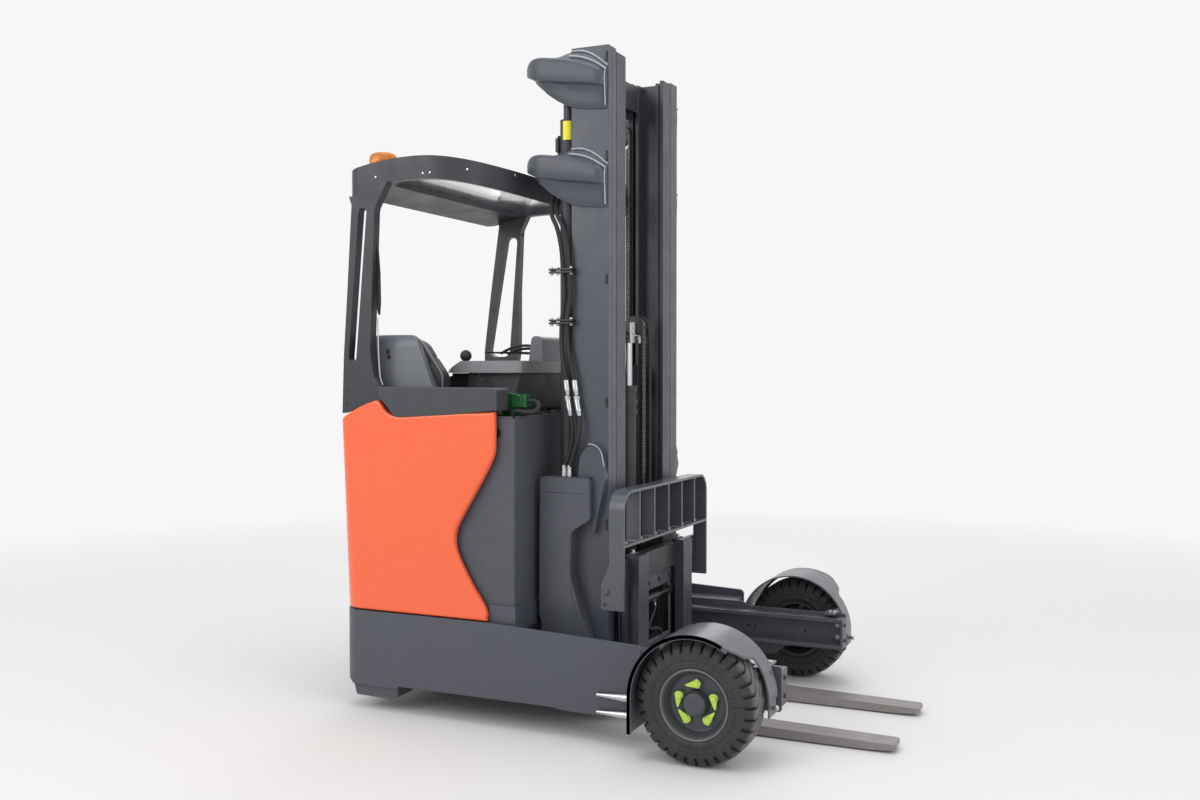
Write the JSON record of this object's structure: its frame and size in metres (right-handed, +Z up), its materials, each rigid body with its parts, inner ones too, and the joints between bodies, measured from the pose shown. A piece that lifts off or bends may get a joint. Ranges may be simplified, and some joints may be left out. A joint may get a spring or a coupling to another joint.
{
  "type": "reach truck",
  "caption": "Electric reach truck: legs with solid-tyred load wheels, a reaching three-stage mast with tilting, side-shifting forks, and a side-seated driver's cab.",
  "frame": {"origin": "on the floor, under the middle of the whole truck's box", "axes": "+X towards the fork tips, +Y to the driver's entry side (left), +Z up"},
  "size_m": [2.2, 1.544, 2.65],
  "materials": {
    "slate_paint": "semi-gloss slate grey paint",
    "orange_paint": "gloss orange moulded cover",
    "solid_tyre": "solid rubber tyre",
    "rim_paint": "dark grey painted rim",
    "floor_rubber": "ribbed rubber mat",
    "seat_vinyl": "black vinyl",
    "cab_plastic": "grained dark plastic",
    "clear_panel": "clear roof sheet",
    "amber_lens": "amber lens",
    "fork_steel": "worn dark painted steel",
    "bright_steel": "ground steel",
    "chain_steel": "oiled leaf chain",
    "hose_rubber": "hydraulic hose",
    "battery_paint": "textured dark grey battery box",
    "connector_plastic": "green moulded plug",
    "cast_housing": "painted castings"
  },
  "bodies": {
    "chassis": {"chassis_base": "slate_paint", "leg_right": "slate_paint", "leg_left": "slate_paint", "reach_rails": "slate_paint", "load_axles": "bright_steel", "fender_right": "slate_paint", "fender_left": "slate_paint", "battery_tray": "slate_paint", "battery": "battery_paint", "rear_bumper": "slate_paint", "side_panel_right": "orange_paint", "side_panel_left": "orange_paint", "side_rims": "slate_paint", "rear_cover": "orange_paint", "operator_floor": "floor_rubber", "motor_cover": "cab_plastic", "guard_pillar_right": "slate_paint", "guard_pillar_left": "slate_paint", "guard_frame": "slate_paint", "roof_panel": "clear_panel", "beacon": "amber_lens", "seat_cushion": "seat_vinyl", "seat_back": "seat_vinyl", "seat_shell": "cab_plastic", "console_top": "cab_plastic", "console_stem": "cab_plastic", "display_hood": "cab_plastic", "steering_console": "cab_plastic", "battery_connector": "connector_plastic", "battery_lead": "hose_rubber"},
    "load_wheel_right": {"load_rim_right": "rim_paint", "load_tyre_right": "solid_tyre"},
    "load_wheel_left": {"load_rim_left": "rim_paint", "load_tyre_left": "solid_tyre"},
    "drive_unit": {"drive_gearbox": "cast_housing", "drive_motor": "cast_housing"},
    "drive_wheel": {"drive_wheel": "solid_tyre"},
    "steering_wheel": {"steering_wheel": "cab_plastic"},
    "reach_carriage": {"carriage_tower_right": "slate_paint", "carriage_tower_left": "slate_paint", "carriage_crossbeam": "slate_paint", "outer_mast_right": "slate_paint", "outer_mast_left": "slate_paint", "mast_yokes": "slate_paint", "lift_barrels": "slate_paint", "mast_hoses": "hose_rubber", "hose_clamps": "cab_plastic"},
    "middle_mast": {"middle_mast": "slate_paint", "stage_chains": "chain_steel"},
    "inner_mast": {"inner_mast": "slate_paint", "free_lift_barrel": "slate_paint"},
    "free_lift": {"free_lift_rod": "bright_steel", "lift_chains": "chain_steel", "fork_hose": "hose_rubber"},
    "fork_carriage": {"fork_carriage": "slate_paint"},
    "tilt_frame": {"tilt_frame": "slate_paint"},
    "side_shifter": {"side_shift_frame": "slate_paint", "load_backrest": "slate_paint", "fork_right": "fork_steel", "fork_left": "fork_steel"}
  },
  "joints": [
    {"name": "load_wheel_right_spin", "type": "hinge", "parent": "chassis", "child": "load_wheel_right", "pos_m": [0.49, -0.67, 0.221], "axis": [0, 1, 0], "continuous": true},
    {"name": "load_wheel_left_spin", "type": "hinge", "parent": "chassis", "child": "load_wheel_left", "pos_m": [0.49, 0.67, 0.221], "axis": [0, 1, 0], "continuous": true},
    {"name": "drive_steer", "type": "hinge", "parent": "chassis", "child": "drive_unit", "pos_m": [-0.865, -0.2, 0.165], "axis": [0, 0, 1], "range_deg": [-90, 90]},
    {"name": "drive_wheel_spin", "type": "hinge", "parent": "drive_unit", "child": "drive_wheel", "pos_m": [-0.865, -0.2, 0.165], "axis": [0, 1, 0], "continuous": true},
    {"name": "steering_wheel_turn", "type": "hinge", "parent": "chassis", "child": "steering_wheel", "pos_m": [-0.932, 0.255, 1.14], "axis": [0, 0, 1], "continuous": true},
    {"name": "mast_reach", "type": "slide", "parent": "chassis", "child": "reach_carriage", "axis": [1, 0, 0], "range_m": [0, 0.56]},
    {"name": "mast_lift", "type": "slide", "parent": "reach_carriage", "child": "middle_mast", "axis": [0, 0, 1], "range_m": [0, 2]},
    {"name": "inner_mast_lift", "type": "slide", "parent": "middle_mast", "child": "inner_mast", "axis": [0, 0, 1], "range_m": [0, 2]},
    {"name": "fork_lift", "type": "slide", "parent": "inner_mast", "child": "fork_carriage", "axis": [0, 0, 1], "range_m": [0, 1.9]},
    {"name": "free_lift_stroke", "type": "slide", "parent": "inner_mast", "child": "free_lift", "axis": [0, 0, 1], "range_m": [0, 0.95]},
    {"name": "fork_tilt", "type": "hinge", "parent": "fork_carriage", "child": "tilt_frame", "pos_m": [0.027, 0, 0.56], "axis": [0, 1, 0], "range_deg": [-4, 2]},
    {"name": "side_shift", "type": "slide", "parent": "tilt_frame", "child": "side_shifter", "axis": [0, 1, 0], "range_m": [-0.075, 0.075]}
  ],
  "couplings": [
    {"joint": "inner_mast_lift", "follows": "mast_lift", "ratio": 1},
    {"joint": "free_lift_stroke", "follows": "fork_lift", "ratio": 0.5}
  ]
}
